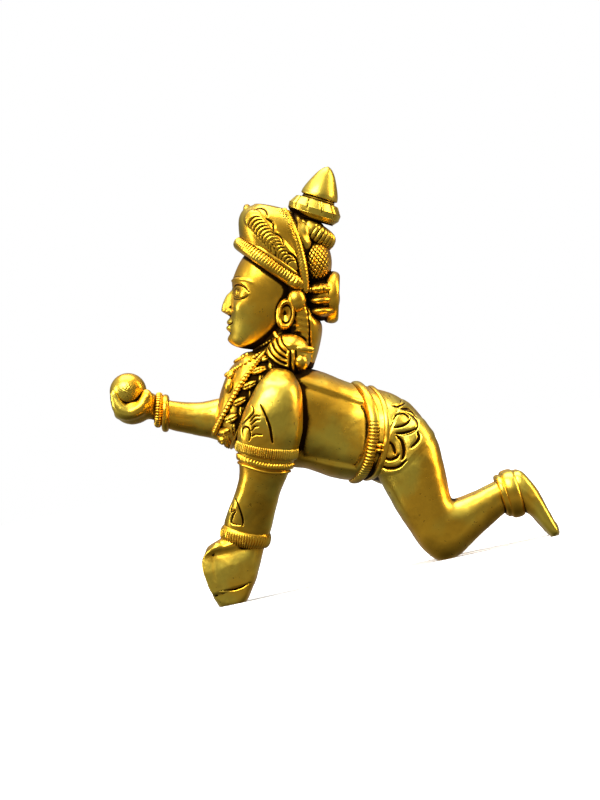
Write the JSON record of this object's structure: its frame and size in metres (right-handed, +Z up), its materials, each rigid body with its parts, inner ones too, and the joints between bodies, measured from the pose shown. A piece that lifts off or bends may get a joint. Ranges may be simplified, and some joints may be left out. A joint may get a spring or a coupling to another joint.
{
  "type": "crawling child deity figure",
  "caption": "Cast brass figure of a crawling child deity on a planted fist, knees and toes, holding a round sweet forward on the raised palm.",
  "frame": {"origin": "on the ground plane, below the middle of the figure's bounding box", "axes": "-X is the way the figure crawls, +Z is up, and -Y is the figure's own left side with the planted fist"},
  "size_m": [0.0916, 0.0402, 0.0896],
  "materials": {
    "brass": "polished high spots with a dark patina left in the recesses"
  },
  "bodies": {
    "root": {"crawling_figure": "brass"}
  },
  "joints": []
}
